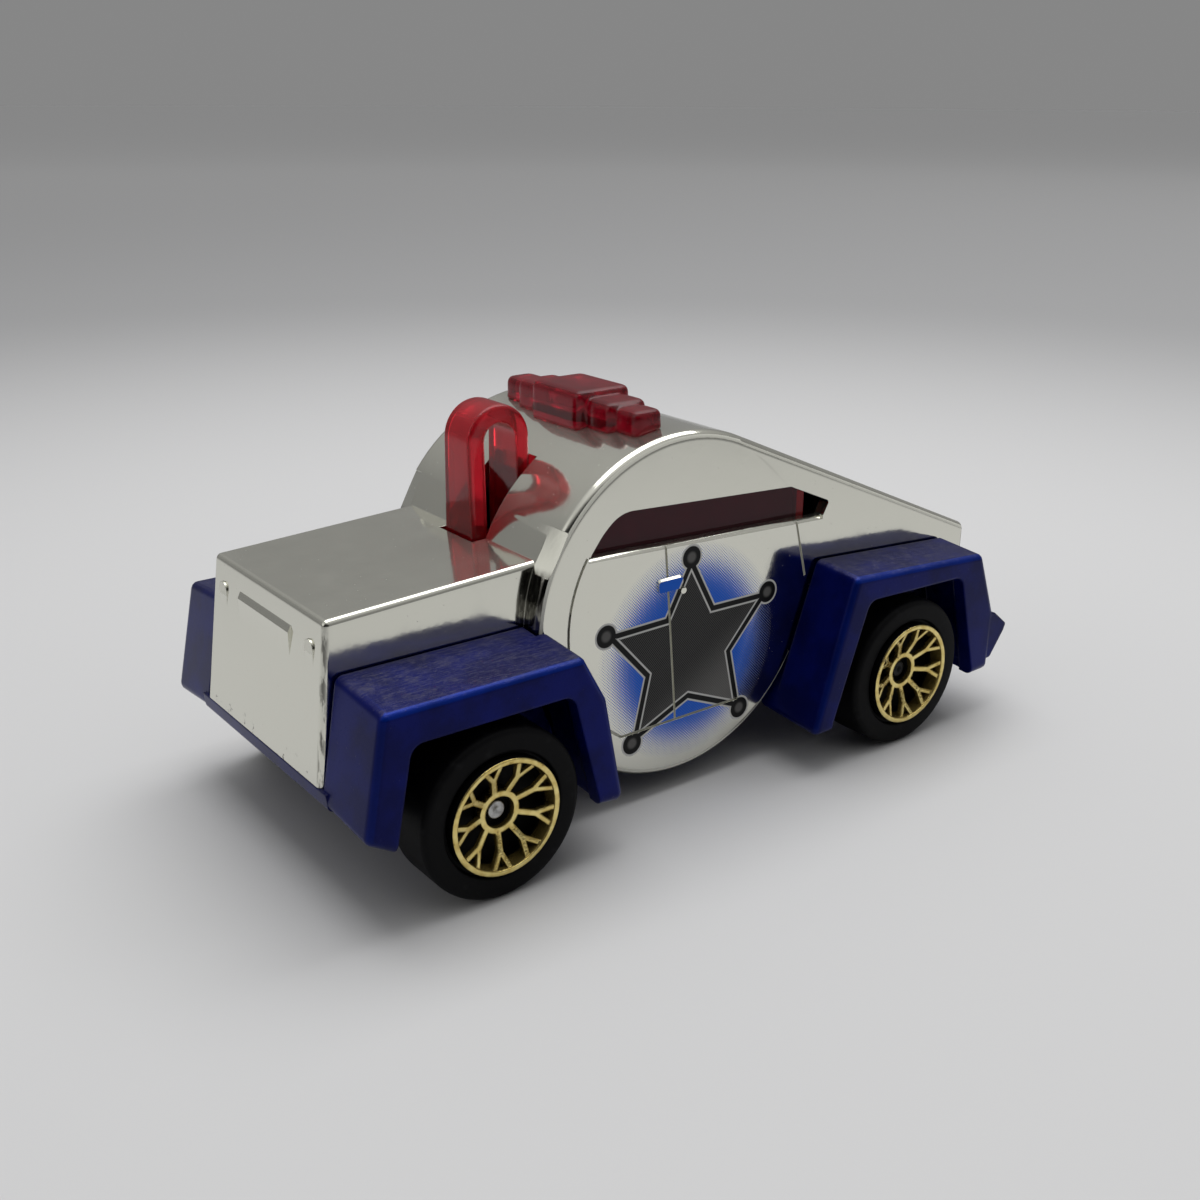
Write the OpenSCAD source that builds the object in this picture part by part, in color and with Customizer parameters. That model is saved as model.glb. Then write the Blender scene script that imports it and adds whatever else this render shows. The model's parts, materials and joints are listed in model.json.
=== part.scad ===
// Pocket-size toy police car in the shape of a whistle: a bright shell with a box hood and a round
// drum cabin, a blue base with four boxy fenders, red windows, light bar and cord loop, and four
// free-rolling wheels with lattice-spoke rims.
// Millimetres. +X to the nose, +Y to the left side, +Z up, origin on the ground under the middle.

/* [Stance] */
// Distance between the axles
wheelbase = 44.8; // [43.5:0.1:46.5]
// Front axle ahead of the middle of the car
front_axle_x = 23.7; // [23:0.1:24.5]
// Diameter of a wheel over its tread
wheel_d = 14; // [13.4:0.1:14.6]
// Width of a wheel from inner face to side wall
wheel_w = 4.9; // [4.4:0.1:5]
// Distance between the outer side walls of a pair of wheels
track_w = 34.4; // [34.2:0.1:35.4]

/* [Hood] */
// Width of the hood across its roof
hood_roof_w = 19.4; // [18.4:0.1:19.8]
// Width of the hood along its lower edge
hood_base_w = 20.6; // [20:0.1:21]
// Front axle to the top edge of the nose
nose_roof_overhang = 10; // [9.2:0.1:10.8]
// Front axle to the lower edge of the nose
nose_base_overhang = 11.5; // [11:0.1:12]
// Height of the top edge of the nose
nose_z = 22.4; // [21.4:0.1:23.2]
// Slope of the hood roof, rising to the rear
hood_rise = 2.8; // [0:0.2:4]
// Height of the lower edge of the shell
shell_base_z = 9.9; // [9.6:0.1:10.2]
// Edge radius of the hood
hood_edge_r = 0.5; // [0.3:0.1:0.8]

/* [Drum cabin] */
// Drum centre ahead of the middle of the car
drum_x = 1.8; // [1.2:0.1:2.4]
// Height of the drum centre
drum_z = 16.9; // [16.6:0.1:17.4]
// Diameter of the drum
drum_d = 30.2; // [29.4:0.1:30.8]
// Width of the drum and tail
drum_w = 23.4; // [22.8:0.1:23.4]
// Edge radius of the drum and tail
drum_edge_r = 0.8; // [0.4:0.1:1]
// Rear axle to the tail face
tail_overhang = 13.6; // [13.2:0.1:13.8]
// Height of the top edge of the tail
tail_z = 17.6; // [17:0.1:19]
// Thickness of the shell
wall = 1.1; // [0.9:0.1:1.3]

/* [Windows] */
// Radius of the round front end, about the drum centre
window_r = 11.8; // [11:0.1:12.4]
// Height of the sill at the front corner
window_sill_z = 23.2; // [22.8:0.1:23.6]
// Height of the window at its front end
window_h = 3.3; // [2.6:0.1:3.8]
// Drum centre to the rear tip of the window
window_tip = 16.8; // [15.5:0.1:17.2]
// Slope of the sill, falling to the rear
window_fall = 2.4; // [0:0.2:4]
// Thickness of a pane
pane_t = 0.9; // [0.6:0.1:1.2]
// Length of the dark gap behind the pane's rear end
pane_gap = 2.1; // [1:0.1:3]

/* [Light bar] */
// Light bar centre ahead of the drum centre
bar_x = 2.2; // [1.6:0.1:3.2]
// Length of the centre, middle and end blocks
bar_l = [5.6, 4.1, 2.9]; // [2.6:0.1:6]
// Width of the centre, middle and end blocks
bar_w = [7, 3.2, 2.8]; // [2.6:0.1:7.4]
// Height of the centre, middle and end blocks over the crown of the drum
bar_h = [2.45, 1.9, 1.65]; // [1.4:0.05:3]
// Edge radius of the blocks
bar_edge_r = 0.6; // [0.3:0.05:0.7]

/* [Cord loop] */
// Loop centre ahead of the drum centre
loop_x = 11.75; // [11.6:0.05:12]
// Outer width of the loop
loop_w = 5.9; // [5.4:0.1:6.2]
// Thickness of the bar of the loop
loop_t = 1.4; // [1.2:0.1:1.6]
// Width of the bar across the car, at the crown
loop_depth = 4; // [3.6:0.1:4.4]
// Width of the bar across the car, at the hood
loop_foot_depth = 4.5; // [4.2:0.1:5]
// Height of the crown of the loop over the drum centre
loop_h = 17.1; // [16.6:0.1:17.6]

/* [Fenders] */
// Height of the outer top edge of the front fenders
front_fender_z = 17.8; // [17.4:0.1:18.4]
// Height of the outer top edge of the rear fenders, at their front
rear_fender_z = 17.8; // [17.4:0.1:18.4]
// Width over the fenders at their top edge
fender_w = 34.2; // [33.8:0.1:35]
// Thickness of the fender side round the wheel arch
fender_wall = 1.2; // [1:0.1:1.4]
// Height of the arch over the top of the wheel
arch_gap = 1; // [0.8:0.1:1.3]
// Edge radius of the fenders
fender_edge_r = 0.7; // [0.5:0.1:0.9]

/* [Base] */
// Thickness of the base plate
plate_t = 1.5; // [1.2:0.1:1.8]
// Thickness of the belly pan under the drum
belly_t = 1.3; // [1:0.1:1.5]
// Height of the flat under the belly
belly_z = 2.6; // [2.4:0.1:3]
// Diameter of the axle wire
axle_d = 1; // [0.8:0.05:1.1]
// Diameter of the axle heads
axle_head_d = 1.5; // [1.4:0.05:1.6]
// Diameter of the rivet shanks
rivet_d = 1.9; // [1.6:0.1:2.2]

/* [Rims] */
// Diameter of the rim over its outer ring
rim_d = 9.56; // [9.2:0.02:9.8]
// Diameter of the hub ring
hub_ring_d = 3.5; // [3.2:0.1:3.8]
// Number of forked spokes
spoke_count = 9; // [7:1:10]
// Width of a spoke's stem
stem_w = 0.46; // [0.36:0.02:0.52]
// Width of a spoke's two arms
arm_w = 0.36; // [0.28:0.02:0.44]
// Depth of the dish from outer ring to hub ring
rim_dish = 1.1; // [0.8:0.1:1.2]

/* [Hidden] */

// Fits
body_gap = 0.3;
seat_gap = 0.05;
run_gap = 0.05;
press_gap = 0.02;
cut = 1;

// Places that follow from the driving sizes
rear_axle_x = front_axle_x - wheelbase;
axle_z = wheel_d / 2;
drum_r = drum_d / 2;
side_y = drum_w / 2;
wheel_face_y = track_w / 2;
wheel_back_y = wheel_face_y - wheel_w;
nose_roof_x = front_axle_x + nose_roof_overhang;
nose_base_x = front_axle_x + nose_base_overhang;
tail_x = rear_axle_x - tail_overhang;
plate_top_z = shell_base_z - seat_gap;
plate_z = plate_top_z - plate_t;
loop_centre_x = drum_x + loop_x;
light_x = drum_x + bar_x;
crown_z = drum_z + drum_r;

// The hood's slanting faces
nose_rake = (nose_base_overhang - nose_roof_overhang) / (nose_z - shell_base_z);
hood_draft = (hood_base_w - hood_roof_w) / 2 / (nose_z - shell_base_z);
function nose_x(z) = nose_roof_x + (nose_z - z) * nose_rake;
function hood_y(z) = hood_roof_w / 2 + (nose_z - z) * hood_draft;
function roof_z(x) = nose_z + (nose_roof_x - x) * tan(hood_rise);

// The fastback runs from the drum, at a tangent, to the top edge of the tail
tail_dist = norm([drum_x - tail_x, tail_z - drum_z]);
fastback_turn = atan2(tail_z - drum_z, tail_x - drum_x) - acos(drum_r / tail_dist);
fastback_n = [cos(fastback_turn), sin(fastback_turn)];
fastback_start = [drum_x, drum_z] + fastback_n * drum_r;

// Corner rounding of outlines
arc_steps = 6;
function unit(v) = v / norm(v);
function half_angle(a, p, b) = acos(unit(a - p) * unit(b - p)) / 2;
function corner_centre(a, p, b, r) =
    p + unit(unit(a - p) + unit(b - p)) * r / sin(half_angle(a, p, b));
function turn_between(u, v) = atan2(u[0] * v[1] - u[1] * v[0], u * v);
function corner_arc(a, p, b, r) =
    let (
        c = corner_centre(a, p, b, r),
        t = r / tan(half_angle(a, p, b)),
        from = p + unit(a - p) * t - c,
        to = p + unit(b - p) * t - c,
        start = atan2(from[1], from[0]),
        step = turn_between(from, to) / arc_steps
    )
    [for (k = [0 : arc_steps]) c + r * [cos(start + step * k), sin(start + step * k)]];
function prev(p, i) = p[(i + len(p) - 1) % len(p)];
function next(p, i) = p[(i + 1) % len(p)];
function rounded(p, r) = [
    for (i = [0 : len(p) - 1])
        each (r[i] > 0 ? corner_arc(prev(p, i), p[i], next(p, i), r[i]) : [p[i]])
];
function inset_corners(p, r) = [
    for (i = [0 : len(p) - 1]) corner_centre(prev(p, i), p[i], next(p, i), r)
];

// An XZ outline drawn across the car, and a YZ outline drawn along it
module across(w) rotate([90, 0, 0]) linear_extrude(w, center = true) children();
module across_from(y0, y1) translate([0, y1, 0]) rotate([90, 0, 0]) linear_extrude(y1 - y0) children();
module along(x0, x1) translate([x0, 0, 0]) rotate([90, 0, 90]) linear_extrude(x1 - x0) children();
module both_sides() {
    children();
    mirror([0, 1, 0]) children();
}

// Room for the wheels, cut from the shell and the base
room_gap = 0.25;
tread_r = wheel_d / 2;

module wheel_rooms() {
    for (x = [front_axle_x, rear_axle_x])
        both_sides()
            translate([x, wheel_back_y - room_gap, axle_z])
                rotate([-90, 0, 0]) cylinder(r = tread_r + room_gap, h = fender_w, $fn = 96);
}

// Shell

shell_ball_fn = 32;

module drum(r, w, edge_r) {
    translate([drum_x, 0, drum_z])
        rotate([90, 0, 0])
            rotate_extrude($fn = 180)
                polygon(rounded(
                    [[0, -w / 2], [r, -w / 2], [r, w / 2], [0, w / 2]],
                    [0, edge_r, edge_r, 0]));
}

module hood_block() {
    r = hood_edge_r;
    low_z = shell_base_z - 2 * r;
    hull() both_sides() {
        for (x = [nose_x(nose_z) - r, drum_x])
            translate([x, hood_y(nose_z) - r, roof_z(x) - r / cos(hood_rise)])
                sphere(r, $fn = shell_ball_fn);
        for (x = [nose_x(low_z) - r, drum_x])
            translate([x, hood_y(low_z) - r, low_z]) sphere(r, $fn = shell_ball_fn);
    }
}

module fastback_block() {
    r = drum_edge_r;
    low_z = shell_base_z - 2 * r;
    tail_corner = corner_centre(fastback_start, [tail_x, tail_z], [tail_x, 0], r);
    start = fastback_start - fastback_n * r;
    hull() both_sides()
        for (p = [start, tail_corner, [tail_x + r, low_z], [drum_x, low_z]])
            translate([p[0], side_y - r, p[1]]) sphere(r, $fn = shell_ball_fn);
}

// Section across the hood from one height to another, grown or shrunk at its sides
function hood_section(z0, z1, grow) = [
    for (s = [1, -1], z = s > 0 ? [z0, z1] : [z1, z0]) [s * (hood_y(z) + grow), z]
];

// Inside of the shell: drum, hood and tail open into each other
fastback_wall = 1.2 * wall;

module shell_inside() {
    inner_r = drum_r - wall;
    inner_w = drum_w - 2 * wall;
    low_z = shell_base_z - cut;
    fastback_in = fastback_start - fastback_n * fastback_wall;
    fastback_end = fastback_in + (tail_x + wall - fastback_in[0]) * [1, -fastback_n[0] / fastback_n[1]];
    drum(inner_r, inner_w, 0);
    intersection() {
        across(hood_base_w)
            polygon([
                [drum_x, low_z], [nose_x(low_z) - wall, low_z],
                [nose_x(nose_z) - wall, nose_z - wall],
                [drum_x, roof_z(drum_x) - wall]
            ]);
        along(drum_x - cut, nose_base_x)
            polygon(hood_section(low_z, crown_z, -wall));
    }
    across(inner_w)
        polygon([[drum_x, low_z], fastback_in, fastback_end, [tail_x + wall, low_z]]);
}

// Windows
function on_drum(r, a) = [drum_x, drum_z] + r * [cos(a), sin(a)];
sill_front_a = asin((window_sill_z - drum_z) / window_r);
sill_front = on_drum(window_r, sill_front_a);
window_top_a = asin((window_sill_z + window_h - drum_z) / window_r);
window_front_mid = on_drum(window_r, (sill_front_a + window_top_a) / 2);
window_top = on_drum(window_r, window_top_a);
function sill_z(x) = sill_front[1] - (sill_front[0] - x) * tan(window_fall);
lintel_fall = window_fall + 0.7;
function lintel_z(x) = window_top[1] - (window_top[0] - x) * tan(lintel_fall);
window_tip_x = drum_x - window_tip;
window_knee_l = 4.9;
window_knee_x = window_tip_x + window_knee_l;
window_tip_h = 1.3;
window_tip_foot_x = window_tip_x + 0.7;
window_outline = [
    sill_front, window_front_mid, window_top, [window_knee_x, lintel_z(window_knee_x)],
    [window_tip_x, sill_z(window_tip_x) + window_tip_h], [window_tip_foot_x, sill_z(window_tip_foot_x)]
];
window_corner_r = [0.2, 6, 3.2, 0.5, 0.25, 0.3];
sill_drop = 0.17;
sill_depth = 0.36;

// The sill slopes outwards and catches the light
module sill_bevel() {
    run = sill_depth + cut;
    both_sides()
        translate([sill_front[0], 0, sill_front[1]])
            rotate([0, -window_fall - 90, 0])
                linear_extrude((sill_front[0] - window_tip_foot_x) / cos(window_fall))
                    polygon([
                        [sill_drop, side_y + cut], [-sill_drop * run / sill_depth, side_y + cut],
                        [0, side_y - sill_depth], [sill_drop, side_y - sill_depth]
                    ]);
}

// Door shut lines, sunk in both sides, and raised handles
line_w = 0.22;
line_depth = 0.2;
door_r = window_r + 0.2;
door_sill_z = 6.85;
door_sill_a = asin((door_sill_z - drum_z) / door_r);
rear_line_x = drum_x - 12.8;
rear_line_lean = 1.4;
pillar_top_x = drum_x + 2.15;
pillar_top = [pillar_top_x, sill_z(pillar_top_x)];
pillar_foot = [drum_x + 0.7, door_sill_z];
handle = [drum_x + 1.65, 19.45];
handle_l = 2.6;
handle_h = 1.15;
handle_proud = 0.22;
handle_corner_r = 0.25;
latch = handle + [-1.4, -0.85];
latch_r = 0.3;

module line_between(a, b) {
    d = b - a;
    translate(a) rotate(atan2(d[1], d[0])) translate([0, -line_w / 2]) square([norm(d), line_w]);
}

module door_lines() {
    rear_foot = on_drum(door_r, 180 - door_sill_a);
    intersection() {
        translate([drum_x, drum_z])
            difference() {
                circle(door_r + line_w / 2, $fn = 120);
                circle(door_r - line_w / 2, $fn = 120);
            }
        polygon([
            [drum_x, drum_z], on_drum(2 * drum_r, sill_front_a), on_drum(2 * drum_r, 0),
            on_drum(2 * drum_r, door_sill_a)
        ]);
    }
    line_between(rear_foot, on_drum(door_r, door_sill_a));
    line_between(pillar_foot, pillar_top);
    line_between([rear_line_x, sill_z(rear_line_x)], [rear_line_x - rear_line_lean, drum_z]);
}

module door_handles() {
    corner = [handle_l, handle_h] / 2;
    plate = [-corner, [corner[0], -corner[1]], corner, [-corner[0], corner[1]]];
    translate(handle) polygon(rounded(plate, [for (k = plate) handle_corner_r]));
    translate(latch) circle(latch_r, $fn = 24);
}

// Raised nose trim: a ledge and two arched studs that run out into the raked face
ledge_w = 9;
ledge_z = 20.6;
stud_y = 7.65;
stud_r = 0.68;
stud_h = 0.1;
stud_z = 19.9;
trim_h = 0.24;
trim_l = 3;
ledge_slope_h = 0.5;

module nose_trim() {
    ledge_x = nose_x(ledge_z) + trim_h;
    stud_x = nose_x(stud_z) + stud_h;
    across(ledge_w)
        polygon([
            [ledge_x - cut, ledge_z], [nose_x(ledge_z), ledge_z], [ledge_x, ledge_z - ledge_slope_h],
            [ledge_x, ledge_z - trim_l], [ledge_x - cut, ledge_z - trim_l]
        ]);
    both_sides() {
        translate([stud_x - cut, stud_y, stud_z])
            rotate([0, 90, 0]) cylinder(r = stud_r, h = cut, $fn = 40);
        translate([stud_x - cut, stud_y - stud_r, stud_z - trim_l]) cube([cut, 2 * stud_r, trim_l]);
    }
}

// Rivet posts under the hood and tail roofs
post_r = rivet_d / 2 + wall;
front_post_x = front_axle_x + 5.3;
rear_post_x = rear_axle_x - 6.4;
post_bore_h = 5;

function fastback_z(x) = fastback_start[1] + (fastback_start[0] - x) * fastback_n[0] / fastback_n[1];
post_tops = [
    [front_post_x, roof_z(front_post_x + post_r)],
    [rear_post_x, fastback_z(rear_post_x - post_r)]
];

module rivet_posts() {
    for (p = post_tops)
        translate([p[0], 0, shell_base_z])
            cylinder(r = post_r, h = p[1] - wall / 3 - shell_base_z, $fn = 48);
}

// Openings in the shell for the loop and for the light bar's stem
module loop_slot() {
    slot_l = loop_w + 2 * body_gap;
    slot_w = loop_foot_depth + 2 * body_gap;
    translate([loop_centre_x - slot_l / 2, -slot_w / 2, roof_z(loop_centre_x) - 3 * wall])
        cube([slot_l, slot_w, drum_r]);
}

stem_l = 2.4;
stem_half = 5;

module body_shell() {
    color("gainsboro") {
        difference() {
            union() {
                difference() {
                    union() {
                        drum(drum_r, drum_w, drum_edge_r);
                        intersection() {
                            union() {
                                hood_block();
                                fastback_block();
                            }
                            translate([-wheelbase, -drum_w, shell_base_z])
                                cube([2 * wheelbase, 2 * drum_w, drum_d]);
                        }
                    }
                    shell_inside();
                    translate([drum_x - drum_d, wall - side_y, -cut])
                        cube([2 * drum_d, drum_w - 2 * wall, shell_base_z + cut]);
                }
                rivet_posts();
                nose_trim();
            }
            for (x = [front_post_x, rear_post_x])
                translate([x, 0, shell_base_z - cut])
                    cylinder(d = rivet_d + 2 * press_gap, h = post_bore_h + cut, $fn = 40);
            across(drum_w + 2 * cut) polygon(rounded(window_outline, window_corner_r));
            sill_bevel();
            both_sides() across_from(side_y - line_depth, side_y + cut) door_lines();
            wheel_rooms();
            loop_slot();
            translate([light_x, 0, crown_z])
                cube([stem_l + 2 * body_gap, 2 * (stem_half + body_gap), 4 * wall], center = true);
        }
        both_sides() across_from(side_y - line_depth, side_y + handle_proud) door_handles();
    }
}

// Base with its fenders

fender_fn = 16;
fender_fall = 0.087;
fender_draft = 0.027;

// Arch outlines about the axle: rear foot, rear top, front top, front foot
arch_z = wheel_d + arch_gap;
front_toe_z = 7;
front_arch = [
    [-tread_r - 1.9, 5], [0.5 - tread_r, arch_z], [tread_r + 0.5, arch_z], [tread_r + 2.2, front_toe_z]
];
rear_arch = [
    [-tread_r - 2.3, 4.8], [0.2 - tread_r, arch_z], [tread_r - 1.2, arch_z + 0.4], [tread_r + 2.9, 4.8]
];
arch_corner_r = 1.2;
arch_lip = 0.4;

// Side outlines about the axle, from the front top corner forwards and down
front_heel = front_arch[0] - [2.45, 0.35];
front_shoulder = [-9.75, front_fender_z - 4];
front_outline = [
    [9.6, front_fender_z], [nose_base_overhang, plate_z], front_arch[3], front_heel, front_shoulder,
    [-7.6, front_fender_z]
];
rear_heel = rear_arch[0] - [2.5, 0.3];
rear_tail = [-12.1, 10.3];
rear_outline = [
    [7.5, rear_fender_z], rear_arch[3] + [2.5, -1], rear_heel, rear_tail, [-9.8, rear_fender_z - 1.2]
];

function arch_outline(p, grow) = [
    [p[0][0] - grow, -cut], [p[0][0] - grow, p[0][1]], [p[1][0] - grow, p[1][1] + grow],
    [p[2][0] + grow, p[2][1] + grow], [p[3][0] + grow, p[3][1]], [p[3][0] + grow, -cut]
];

module arch_cut(p, grow, y0, y1)
    across_from(y0, y1)
        polygon(rounded(arch_outline(p, grow), [0, 0, arch_corner_r, arch_corner_r, 0, 0]));

module fender(outline, arch, top_z, inner_y, well_y) {
    r = fender_edge_r;
    corners = inset_corners(outline, r);
    difference() {
        hull()
            for (c = corners) {
                outer_y = fender_w / 2 - r + (top_z - c[1]) * fender_draft;
                translate([c[0], outer_y, c[1]]) sphere(r, $fn = fender_fn);
                translate([c[0], inner_y, c[1] + (outer_y - inner_y) * fender_fall])
                    sphere(r, $fn = fender_fn);
            }
        arch_cut(arch, 0, well_y, fender_w);
        arch_cut(arch, arch_lip, well_y, fender_w / 2 - fender_wall);
    }
}

// Room for the shell between the fenders
module shell_room() {
    top = 2 * crown_z;
    along(drum_x, nose_base_x + drum_r)
        polygon(hood_section(plate_top_z, top, body_gap));
    drum(drum_r + body_gap, drum_w + 2 * body_gap, 0);
    translate([tail_x - drum_r, -side_y - body_gap, plate_top_z])
        cube([drum_x - tail_x + drum_r, drum_w + 2 * body_gap, top]);
}

front_well_y = hood_base_w / 2 + body_gap + 1;
rear_well_y = side_y + body_gap - 0.1;
front_plate_half = front_well_y - 0.3;
rear_plate_half = side_y + 1.4;
rear_plate_end = -rear_arch[0][0] + 0.3;
chin_lean = 0.15;
chin_edge_r = 0.5;
pan_half = side_y - wall - body_gap;
pan_r = drum_r - 0.5;
pan_floor_t = 0.95;
bearing_l = 4;
bearing_in_y = 8;
bearing_out_y = wheel_back_y - body_gap;
bearing_drop = 1.9;

// Bumper section about the rear axle
bumper_in_x = -9.4;
bumper_foot_z = 5.6;
bumper_tip = [-14.1, 8.7];
bumper_outline = [
    [bumper_in_x, plate_top_z], rear_tail, bumper_tip, bumper_tip + [0.25, -0.65],
    [rear_tail[0], bumper_foot_z], [bumper_in_x, bumper_foot_z]
];
bumper_corner_r = [0, 0.5, 0.25, 0.25, 0.4, 0];
bumper_w = fender_w + 0.3;

// Tail lamps on the rear faces of the fenders
lamp_r = 0.6;
lamp_l = 1.2;
lamp_x = -10.2;
lamp_y = 14.6;
lamp_z = 13.4;

module base_plates() {
    chin = [
        [drum_x, plate_top_z], [drum_x, plate_z], [nose_base_x - chin_lean, plate_z],
        [nose_base_x, plate_top_z]
    ];
    across(2 * front_plate_half) polygon(rounded(chin, [0, 0, chin_edge_r, 0]));
    translate([rear_axle_x - rear_plate_end, -rear_plate_half, plate_z])
        cube([2 * rear_plate_end, 2 * rear_plate_half, plate_t]);
    translate([rear_axle_x, -pan_half, plate_z]) cube([drum_x - rear_axle_x, 2 * pan_half, plate_t]);
}

module belly_pan() {
    intersection() {
        translate([drum_x, 0, drum_z])
            rotate([90, 0, 0])
                difference() {
                    cylinder(r = pan_r, h = 2 * pan_half, center = true, $fn = 180);
                    intersection() {
                        cylinder(r = pan_r - belly_t, h = 2 * pan_half + cut, center = true, $fn = 180);
                        translate([-drum_d, belly_z + pan_floor_t - drum_z, -drum_w])
                            cube([2 * drum_d, 2 * drum_d, 2 * drum_w]);
                    }
                }
        translate([drum_x - drum_r, -side_y, belly_z]) cube([drum_d, drum_w, plate_top_z - belly_z]);
    }
}

module bearing_blocks(x) {
    block_z = axle_z - bearing_drop;
    both_sides()
        translate([x - bearing_l / 2, bearing_in_y, block_z])
            cube([bearing_l, bearing_out_y - bearing_in_y, plate_z - block_z + cut / 2]);
}

module fender_pair(x) translate([x, 0, 0]) both_sides() children();

module base_chassis() {
    color("midnightblue")
        difference() {
            union() {
                difference() {
                    union() {
                        fender_pair(front_axle_x)
                            fender(front_outline, front_arch, front_fender_z, hood_y(nose_z) - cut,
                                front_well_y);
                        fender_pair(rear_axle_x)
                            fender(rear_outline, rear_arch, rear_fender_z, side_y - cut, rear_well_y);
                        translate([rear_axle_x, 0, 0])
                            across(bumper_w) polygon(rounded(bumper_outline, bumper_corner_r));
                    }
                    shell_room();
                }
                difference() {
                    base_plates();
                    drum(pan_r - belly_t / 2, drum_w + 4 * cut, 0);
                    fender_pair(front_axle_x) arch_cut(front_arch, arch_lip, front_well_y, fender_w);
                    fender_pair(rear_axle_x) arch_cut(rear_arch, arch_lip, rear_well_y, fender_w);
                    both_sides()
                        intersection() {
                            drum(drum_r + body_gap, drum_w + 2 * body_gap, 0);
                            translate([drum_x - drum_d, pan_half, 0]) cube([2 * drum_d, 2 * wall, drum_d]);
                        }
                }
                belly_pan();
                bearing_blocks(front_axle_x);
                bearing_blocks(rear_axle_x);
                both_sides()
                    translate([rear_axle_x + lamp_x, lamp_y, lamp_z])
                        rotate([0, -90, 0]) cylinder(r = lamp_r, h = lamp_l, $fn = 40);
            }
            wheel_rooms();
            for (x = [front_axle_x, rear_axle_x])
                translate([x, 0, axle_z])
                    rotate([90, 0, 0])
                        cylinder(d = axle_d + 2 * run_gap, h = 2 * wheel_face_y, center = true, $fn = 48);
            for (x = [front_post_x, rear_post_x])
                translate([x, 0, plate_z - cut])
                    cylinder(d = rivet_d + 2 * press_gap, h = plate_t + 2 * cut, $fn = 48);
        }
}

// Red pieces

pane_y = side_y - wall - seat_gap;
pane_margin = 0.7;
bridge_t = 0.8;
bridge_l = 9;
bridge_z = window_top[1] + bridge_t;

module window_insert() {
    tail_end = window_tip_x + pane_gap;
    bridge_x = light_x - bridge_l / 2;
    pane = [
        [sill_front[0] + pane_margin, sill_front[1] - pane_margin],
        [sill_front[0] + pane_margin, sill_front[1] + pane_margin],
        [window_top[0] + pane_margin / 2, bridge_z],
        [bridge_x, bridge_z],
        [window_knee_x, lintel_z(window_knee_x) + pane_margin],
        [tail_end, lintel_z(window_knee_x) - pane_margin],
        [tail_end, sill_z(tail_end) - pane_margin]
    ];
    color("firebrick") {
        both_sides() across_from(pane_y - pane_t, pane_y) polygon(pane);
        translate([bridge_x, pane_t / 2 - pane_y, bridge_z - bridge_t])
            cube([bridge_l, 2 * pane_y - pane_t, bridge_t]);
    }
}

module soft_block(l, w, top_z) {
    r = bar_edge_r;
    low_z = bridge_z;
    hull()
        for (sx = [1, -1], sy = [1, -1])
            translate([sx * (l / 2 - r), sy * (w / 2 - r), 0]) {
                translate([0, 0, top_z - r]) sphere(r, $fn = fender_fn);
                translate([0, 0, low_z]) cylinder(r = r, h = r, $fn = fender_fn);
            }
}

module light_bar() {
    mid_y = bar_w[0] / 2 + bar_w[1] / 2 - press_gap;
    end_y = mid_y + bar_w[1] / 2 + bar_w[2] / 2 - press_gap;
    places = [[0, 0], [mid_y, 1], [-mid_y, 1], [end_y, 2], [-end_y, 2]];
    color("crimson") {
        difference() {
            translate([light_x, 0, 0])
                for (p = places)
                    translate([0, p[0], 0])
                        soft_block(bar_l[p[1]], bar_w[p[1]] + 2 * press_gap, crown_z + bar_h[p[1]]);
            drum(drum_r + press_gap, 2 * drum_w, 0);
        }
        translate([light_x - stem_l / 2, -stem_half, bridge_z + seat_gap])
            cube([stem_l, 2 * stem_half, crown_z - bridge_z]);
    }
}

module cord_loop() {
    r = loop_w / 2;
    crown_y = loop_depth / 2;
    foot_y = loop_foot_depth / 2;
    edge_r = 0.4;
    arch_centre_z = drum_z + loop_h - r;
    foot_z = roof_z(loop_centre_x + loop_w) - wall - seat_gap;
    foot_t = 1.1;
    foot_margin = 0.9;
    ring = rounded([[0, -crown_y], [r, -crown_y], [r, crown_y], [0, crown_y]], [0, edge_r, edge_r, 0]);
    foot = rounded([[-r, -foot_y], [r, -foot_y], [r, foot_y], [-r, foot_y]], [for (k = [1 : 4]) edge_r]);
    color("crimson")
        translate([loop_centre_x, 0, 0]) {
            difference() {
                hull() {
                    translate([0, 0, arch_centre_z])
                        rotate([90, 0, 0]) rotate_extrude($fn = 48) polygon(ring);
                    translate([0, 0, foot_z - foot_t / 2]) linear_extrude(foot_t) polygon(foot);
                }
                across(2 * loop_foot_depth) {
                    translate([0, arch_centre_z]) circle(r - loop_t, $fn = 64);
                    translate([loop_t - r, foot_z]) square([loop_w - 2 * loop_t, arch_centre_z - foot_z]);
                }
            }
            translate([-r - foot_margin, -foot_y - foot_margin, foot_z - foot_t])
                cube([loop_w + 2 * foot_margin, loop_foot_depth + 2 * foot_margin, foot_t]);
        }
}

// Running gear

head_t = 0.3;
head_edge_r = 0.12;
dimple_r = 0.35;
dimple_depth = 0.12;
hub_depth = 1.45;
hub_face_y = wheel_face_y - hub_depth;

// Pressed head with a dimple in its middle
module axle_head() {
    r = axle_head_d / 2;
    rotate_extrude($fn = 48)
        polygon(rounded(
            [[0, 0], [r, 0], [r, head_t], [dimple_r, head_t], [0, head_t - dimple_depth]],
            [0, 0, head_edge_r, 0, 0]));
}

module axle(x) {
    color("silver")
        translate([x, 0, axle_z])
            rotate([90, 0, 0]) {
                cylinder(d = axle_d, h = 2 * hub_face_y + head_t, center = true, $fn = 48);
                for (end = [0, 180])
                    rotate([0, end, 0]) translate([0, 0, hub_face_y + run_gap]) axle_head();
            }
}

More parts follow.
